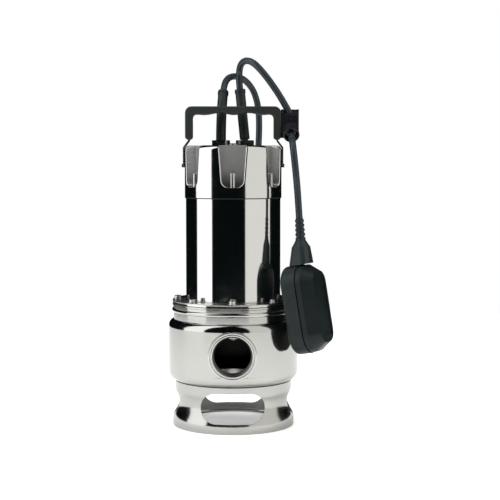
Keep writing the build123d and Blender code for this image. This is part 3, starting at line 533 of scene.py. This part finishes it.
def buildToneDrift():  # a slow drift between two close colours
    group, entry, leave = newGroup(
        "toneDrift",
        [
            ("Vector", vectorSocket, None), ("Scale", floatSocket, 12.0),
            ("First", colourSocket, (0.5, 0.5, 0.5, 1)), ("Second", colourSocket, (0.6, 0.6, 0.6, 1)),
        ],
        [("Color", colourSocket)],
    )
    cloud = fill(addNode(group, "ShaderNodeTexNoise"), Detail=3.0, Roughness=0.6)
    group.links.new(entry.outputs["Vector"], cloud.inputs["Vector"])
    group.links.new(entry.outputs["Scale"], cloud.inputs["Scale"])
    blend = addNode(group, "ShaderNodeMix", data_type="RGBA")
    group.links.new(cloud.outputs["Fac"], blend.inputs["Factor"])
    group.links.new(entry.outputs["First"], blend.inputs["A"])
    group.links.new(entry.outputs["Second"], blend.inputs["B"])
    group.links.new(blend.outputs["Result"], leave.inputs["Color"])
    return group


def buildHairScratches():  # sparse short scratches, seen only where light catches them
    group, entry, leave = newGroup(
        "hairScratches",
        [("Vector", vectorSocket, None), ("Scale", floatSocket, 60.0), ("Width", floatSocket, 0.02)],
        [("Mask", floatSocket)],
    )
    warp = fill(addNode(group, "ShaderNodeTexNoise"), Scale=9.0, Detail=1.0)
    group.links.new(entry.outputs["Vector"], warp.inputs["Vector"])
    push = addNode(group, "ShaderNodeVectorMath", operation="MULTIPLY_ADD")
    push.inputs[1].default_value = (0.03, 0.03, 0.03)
    group.links.new(warp.outputs["Color"], push.inputs[0])
    group.links.new(entry.outputs["Vector"], push.inputs[2])
    cracks = addNode(group, "ShaderNodeTexVoronoi", feature="DISTANCE_TO_EDGE")
    group.links.new(push.outputs[0], cracks.inputs["Vector"])
    group.links.new(entry.outputs["Scale"], cracks.inputs["Scale"])
    near = maths(group, "LESS_THAN", cracks.outputs["Distance"], entry.outputs["Width"])
    gate = fill(addNode(group, "ShaderNodeTexNoise"), Scale=35.0, Detail=2.0)
    group.links.new(entry.outputs["Vector"], gate.inputs["Vector"])
    some = maths(group, "GREATER_THAN", gate.outputs["Fac"], 0.6)
    group.links.new(maths(group, "MULTIPLY", near, some), leave.inputs["Mask"])
    return group


mouldedGrain, drawnLines = buildMouldedGrain(), buildDrawnLines()
wipedSheen, toneDrift, hairScratches = buildWipedSheen(), buildToneDrift(), buildHairScratches()


def place(tree, group, vector, **values):
    node = addNode(tree, "ShaderNodeGroup")
    node.node_tree = group
    tree.links.new(vector, node.inputs["Vector"])
    return fill(node, **values)


def startMaterial(name):
    material = bpy.data.materials.new(name)
    material.use_nodes = True
    tree = material.node_tree
    coordinates = addNode(tree, "ShaderNodeTexCoord")
    return material, tree, tree.nodes["Principled BSDF"], coordinates.outputs["Object"]


def stretched(tree, vector, scale):
    mapping = addNode(tree, "ShaderNodeMapping")
    mapping.inputs["Scale"].default_value = scale
    tree.links.new(vector, mapping.inputs["Vector"])
    return mapping.outputs[0]


def addBump(tree, shader, height, depth):
    bump = fill(addNode(tree, "ShaderNodeBump"), Strength=1.0, Distance=depth)
    tree.links.new(height, bump.inputs["Height"])
    tree.links.new(bump.outputs["Normal"], shader.inputs["Normal"])


# Sides that the polishing wheel doesn't reach, so rougher: the inner faces, the bore and the flutes of
# the cap. Their colour is painted shade: near black on the inner faces and in the bore, darker towards
# the bottom in the flutes.
dullAndShadedSides = {
    "casing_steel": {"side": "inner", "colour": (0.07, 0.07, 0.068), "rougher": 0.34},
    "port_steel": {"side": "bore", "colour": (0.10, 0.10, 0.098), "rougher": 0.24},
    # cap flutes: painted shade, darker towards the bottom between the heights shadeLow and shadeHigh
    "cap_steel": {"side": "flutes", "colour": (0.56, 0.56, 0.55), "rougher": 0.16, "metal": 0.62,
        "shade": (0.10, 0.11, 0.11), "shadeLow": 0.289, "shadeHigh": 0.322},
}
capLow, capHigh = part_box("motor_cap")
fluteDepth = 0.0012
fluteRadius = (capHigh[0] - capLow[0]) / 2 - fluteDepth
boreRadius = 0.0242


# the mask of the rougher sides, which also carry painted shade
def dullAndShadedMask(tree, name):
    if name not in dullAndShadedSides:
        return None
    side = dullAndShadedSides[name]["side"]
    coordinates = addNode(tree, "ShaderNodeTexCoord")
    if side == "bore":
        centred = addNode(tree, "ShaderNodeMapping")
        centred.inputs["Location"].default_value = (0, 0, -collar["root"][2])
        centred.inputs["Scale"].default_value = (1, 0, 1)
        tree.links.new(coordinates.outputs["Object"], centred.inputs["Vector"])
        reach = addNode(tree, "ShaderNodeVectorMath", operation="LENGTH")
        tree.links.new(centred.outputs[0], reach.inputs[0])
        return maths(tree, "LESS_THAN", reach.outputs["Value"], boreRadius)
    flat = stretched(tree, coordinates.outputs["Object"], (1, 1, 0))
    facing = addNode(tree, "ShaderNodeVectorMath", operation="DOT_PRODUCT")
    tree.links.new(flat, facing.inputs[0])
    tree.links.new(coordinates.outputs["Normal"], facing.inputs[1])
    if side == "inner":
        return maths(tree, "LESS_THAN", facing.outputs["Value"], -0.001)
    reach = addNode(tree, "ShaderNodeVectorMath", operation="LENGTH")
    tree.links.new(flat, reach.inputs[0])
    sunk = maths(tree, "LESS_THAN", reach.outputs["Value"], fluteRadius)
    upright = addNode(tree, "ShaderNodeSeparateXYZ")
    tree.links.new(coordinates.outputs["Normal"], upright.inputs[0])
    wall = maths(tree, "LESS_THAN", maths(tree, "ABSOLUTE", upright.outputs["Z"]), 0.6)
    return maths(tree, "MULTIPLY", sunk, wall)


# Metals: colour and its drift, roughness from and to, the lines' scale along x, y and z, and their depth.
def makeMetal(name, colour, drift, rough, lines, depth, scratches=0.0):
    material, tree, shader, vector = startMaterial(name)
    shader.inputs["Metallic"].default_value = 1.0
    tone = place(tree, toneDrift, vector, Scale=22.0, First=(*colour, 1), Second=(*drift, 1))
    tree.links.new(tone.outputs["Color"], shader.inputs["Base Color"])
    sheen = place(tree, wipedSheen, vector, Scale=24.0, Low=rough[0], High=rough[1])
    along = stretched(tree, vector, lines)
    drawn = place(tree, drawnLines, along, Scale=1.0, Breaks=0.3)
    extra = maths(tree, "MULTIPLY", drawn.outputs["Mask"], rough[1] - rough[0])
    roughness = maths(tree, "ADD", sheen.outputs["Roughness"], extra)
    height = drawn.outputs["Height"]
    if scratches:
        marks = place(tree, hairScratches, vector, Scale=70.0, Width=0.012)
        worn = maths(tree, "MULTIPLY", marks.outputs["Mask"], scratches)
        roughness = maths(tree, "ADD", roughness, worn)
        height = maths(tree, "SUBTRACT", height, marks.outputs["Mask"])
    dullAndShaded = dullAndShadedMask(tree, name)
    if dullAndShaded:
        # painted shade: on these sides the colour is swapped for the dark colour listed above
        colour = addNode(tree, "ShaderNodeMix", data_type="RGBA")
        tree.links.new(dullAndShaded, colour.inputs["Factor"])
        tree.links.new(tone.outputs["Color"], colour.inputs["A"])
        colour.inputs["B"].default_value = (*dullAndShadedSides[name]["colour"], 1)
        if "shade" in dullAndShadedSides[name]:  # painted shade, darker low down in the flutes
            climb = addNode(tree, "ShaderNodeSeparateXYZ")
            tree.links.new(vector, climb.inputs[0])
            ramp = addNode(tree, "ShaderNodeMapRange", interpolation_type="SMOOTHSTEP")
            ramp.inputs["From Min"].default_value = dullAndShadedSides[name]["shadeLow"]
            ramp.inputs["From Max"].default_value = dullAndShadedSides[name]["shadeHigh"]
            tree.links.new(climb.outputs["Z"], ramp.inputs["Value"])
            shaded = addNode(tree, "ShaderNodeMix", data_type="RGBA")
            tree.links.new(ramp.outputs["Result"], shaded.inputs["Factor"])
            shaded.inputs["A"].default_value = (*dullAndShadedSides[name]["shade"], 1)
            shaded.inputs["B"].default_value = (*dullAndShadedSides[name]["colour"], 1)
            tree.links.new(shaded.outputs["Result"], colour.inputs["B"])
        tree.links.new(colour.outputs["Result"], shader.inputs["Base Color"])
        if "metal" in dullAndShadedSides[name]:
            metal = maths(tree, "MULTIPLY", dullAndShaded, dullAndShadedSides[name]["metal"] - 1)
            tree.links.new(maths(tree, "ADD", metal, 1), shader.inputs["Metallic"])
        more = maths(tree, "MULTIPLY", dullAndShaded, dullAndShadedSides[name]["rougher"])
        roughness = maths(tree, "ADD", roughness, more)
    tree.links.new(roughness, shader.inputs["Roughness"])
    addBump(tree, shader, height, depth)
    return material


mouldedPits = 0.5


# Plastics and rubbers: colour and drift, roughness from and to, the grain's scale and depth.
def makeMoulded(name, colour, drift, rough, grain, depth, specular=0.5):
    material, tree, shader, vector = startMaterial(name)
    shader.inputs["Specular IOR Level"].default_value = specular
    tone = place(tree, toneDrift, vector, Scale=30.0, First=(*colour, 1), Second=(*drift, 1))
    tree.links.new(tone.outputs["Color"], shader.inputs["Base Color"])
    sheen = place(tree, wipedSheen, vector, Scale=38.0, Low=rough[0], High=rough[1])
    tree.links.new(sheen.outputs["Roughness"], shader.inputs["Roughness"])
    texture = place(tree, mouldedGrain, vector, Scale=grain, Pits=mouldedPits)
    addBump(tree, shader, texture.outputs["Height"], depth)
    return material


spunLines = (3, 3, 900)  # rings round the shaft's axis
rolledLines = (700, 700, 2)  # upright lines
metals = {
    "motor_tube_steel": (
        (0.74, 0.735, 0.72), (0.70, 0.695, 0.68),
        (0.035, 0.06), rolledLines, 1e-6, 0.05,
    ),
    "casing_steel": ((0.59, 0.59, 0.56), (0.53, 0.53, 0.505), (0.08, 0.12), spunLines, 2e-6, 0.06),
    "strainer_steel": ((0.54, 0.54, 0.515), (0.48, 0.48, 0.46), (0.10, 0.15), spunLines, 3e-6, 0.08),
    "cap_steel": ((0.72, 0.715, 0.70), (0.67, 0.665, 0.65), (0.05, 0.08), spunLines, 2e-6, 0.06),
    "clamp_ring_steel": (
        (0.66, 0.65, 0.63), (0.60, 0.59, 0.57),
        (0.20, 0.28), (260, 260, 260), 3e-6, 0.05,
    ),
    "port_steel": ((0.70, 0.69, 0.67), (0.64, 0.63, 0.61), (0.12, 0.18), (3, 900, 3), 3e-6, 0.05),
    "suction_plate_steel": (
        (0.60, 0.59, 0.57), (0.54, 0.53, 0.51),
        (0.26, 0.34), (240, 240, 240), 4e-6, 0.0,
    ),
    "backing_ring_steel": (
        (0.60, 0.59, 0.57), (0.55, 0.54, 0.52),
        (0.28, 0.36), (240, 240, 240), 4e-6, 0.0,
    ),
    "inner_plate_steel": (
        (0.60, 0.59, 0.57), (0.55, 0.54, 0.52),
        (0.26, 0.34), (240, 240, 240), 4e-6, 0.0,
    ),
    "screw_steel": ((0.72, 0.71, 0.69), (0.64, 0.63, 0.61), (0.20, 0.30), (500, 500, 120), 4e-6, 0.0),
    "dome_nut_steel": ((0.70, 0.69, 0.67), (0.62, 0.61, 0.59), (0.18, 0.26), (60, 60, 900), 4e-6, 0.0),
    "strap_steel": ((0.68, 0.67, 0.65), (0.62, 0.61, 0.59), (0.18, 0.26), (4, 900, 4), 3e-6, 0.0),
    "gland_metal": ((0.72, 0.71, 0.69), (0.66, 0.65, 0.63), (0.12, 0.20), (60, 60, 700), 5e-6, 0.0),
    "shaft_steel": ((0.70, 0.70, 0.70), (0.66, 0.66, 0.66), (0.10, 0.16), spunLines, 2e-6, 0.0),
    "impeller_steel": ((0.58, 0.57, 0.55), (0.50, 0.49, 0.47), (0.30, 0.42), (300, 300, 300), 2e-5, 0.0),
    "bearing_steel": ((0.75, 0.75, 0.76), (0.71, 0.71, 0.72), (0.05, 0.09), spunLines, 1e-6, 0.0),
    "ball_steel": ((0.75, 0.75, 0.76), (0.71, 0.71, 0.72), (0.04, 0.08), (90, 90, 90), 1e-6, 0.0),
    "lamination_steel": ((0.34, 0.34, 0.36), (0.27, 0.27, 0.29), (0.36, 0.46), (2, 2, 2200), 6e-5, 0.0),
    "cast_aluminium": ((0.66, 0.66, 0.67), (0.60, 0.60, 0.61), (0.34, 0.46), (400, 400, 400), 2e-5, 0.0),
    "cast_bracket": ((0.62, 0.62, 0.63), (0.55, 0.55, 0.56), (0.38, 0.50), (350, 350, 350), 4e-5, 0.0),
    "winding_copper": (
        (0.62, 0.30, 0.13), (0.48, 0.20, 0.08),
        (0.22, 0.34), (1500, 1500, 900), 1e-4, 0.0,
    ),
    "lever_brass": ((0.72, 0.56, 0.30), (0.64, 0.48, 0.24), (0.20, 0.30), (60, 60, 700), 3e-6, 0.0),
    "pin_brass": ((0.72, 0.68, 0.58), (0.66, 0.61, 0.50), (0.14, 0.24), (700, 60, 60), 3e-6, 0.0),
}
mouldings = {
    "handle_plastic": ((0.020, 0.026, 0.025), (0.028, 0.034, 0.032), (0.36, 0.46), 1400, 1.2e-5, 0.42),
    "clip_plastic": ((0.008, 0.008, 0.010), (0.014, 0.014, 0.017), (0.22, 0.32), 1100, 5e-6, 0.50),
    "cord_jacket": ((0.018, 0.027, 0.034), (0.025, 0.035, 0.043), (0.24, 0.32), 900, 1.2e-5, 0.45),
    "sleeve_rubber": ((0.014, 0.018, 0.021), (0.021, 0.026, 0.030), (0.34, 0.44), 900, 1.4e-5, 0.40),
    "float_front_plastic": (
        (0.0065, 0.0105, 0.0110), (0.0100, 0.0150, 0.0155),
        (0.30, 0.38), 1300, 1.0e-5, 0.26,
    ),
    "float_back_plastic": (
        (0.0095, 0.0155, 0.0160), (0.0130, 0.0200, 0.0205),
        (0.32, 0.40), 1300, 1.0e-5, 0.28,
    ),
    "float_neck_rubber": (
        (0.014, 0.020, 0.022), (0.019, 0.026, 0.028),
        (0.34, 0.44), 1000, 1.2e-5, 0.42,
    ),
    "relief_rubber": ((0.014, 0.018, 0.021), (0.021, 0.026, 0.030), (0.34, 0.44), 1000, 1.2e-5, 0.40),
    "black_gasket": ((0.010, 0.010, 0.011), (0.018, 0.018, 0.019), (0.50, 0.62), 800, 2e-5, 0.35),
    "seal_rubber": ((0.012, 0.012, 0.012), (0.020, 0.020, 0.020), (0.46, 0.58), 900, 1e-5, 0.35),
    "seal_ceramic": ((0.80, 0.79, 0.74), (0.84, 0.83, 0.79), (0.12, 0.20), 600, 2e-6, 0.55),
    "seal_carbon": ((0.020, 0.020, 0.022), (0.030, 0.030, 0.033), (0.30, 0.42), 1200, 4e-6, 0.45),
    "frame_steel": ((0.10, 0.12, 0.14), (0.14, 0.16, 0.18), (0.34, 0.44), 500, 2e-5, 0.45),
    "capacitor_shell": ((0.66, 0.64, 0.58), (0.72, 0.70, 0.65), (0.30, 0.40), 700, 8e-6, 0.45),
    "terminal_plastic": ((0.46, 0.43, 0.36), (0.52, 0.49, 0.42), (0.36, 0.46), 800, 1e-5, 0.45),
    "channel_plastic": ((0.62, 0.62, 0.58), (0.68, 0.68, 0.65), (0.34, 0.44), 800, 1e-5, 0.45),
    "tie_plastic": ((0.012, 0.012, 0.013), (0.020, 0.020, 0.021), (0.34, 0.46), 1200, 8e-6, 0.42),
    "plug_plastic": ((0.018, 0.019, 0.021), (0.026, 0.027, 0.030), (0.38, 0.48), 1100, 1.4e-5, 0.42),
}
finishes = {name: makeMetal(name, *look) for name, look in metals.items()}
finishes.update({name: makeMoulded(name, *look) for name, look in mouldings.items()})
nodeSlot = {entry["node"]: entry["material_slot"] for entry in frame["record"]["subparts"]}
for node, finish in nodeSlot.items():
    for materialSlot in nodes[node].material_slots:
        materialSlot.material = finishes[finish]
madeFinish = {
    powerCord: "cord_jacket",
    floatCordUpper: "cord_jacket",
    floatCordLower: "cord_jacket",
    floatCordBend: "cord_jacket",
    dischargeCollar: "port_steel",
    strainRelief: "relief_rubber",
    carryHandle: "handle_plastic",
}
for piece, finish in madeFinish.items():
    piece.data.materials.append(finishes[finish])
print("finishes made:", len(finishes))

# the floor's plain paper
floorFinish, floorTree, floorShader, floorVector = startMaterial("palePaper")
floorTone = place(
    floorTree, toneDrift, floorVector,
    Scale=2.0, First=(0.93, 0.93, 0.93, 1), Second=(0.95, 0.95, 0.95, 1),
)
floorTree.links.new(floorTone.outputs["Color"], floorShader.inputs["Base Color"])
floorShader.inputs["Roughness"].default_value = 0.9
floorShader.inputs["Specular IOR Level"].default_value = 0.1
floorShader.inputs["Emission Color"].default_value = (1, 1, 1, 1)
floorRays = addNode(floorTree, "ShaderNodeLightPath")
glow = maths(floorTree, "MULTIPLY", floorRays.outputs["Is Camera Ray"], floor["glow"])
floorTree.links.new(glow, floorShader.inputs["Emission Strength"])
floorObject.data.materials.append(floorFinish)
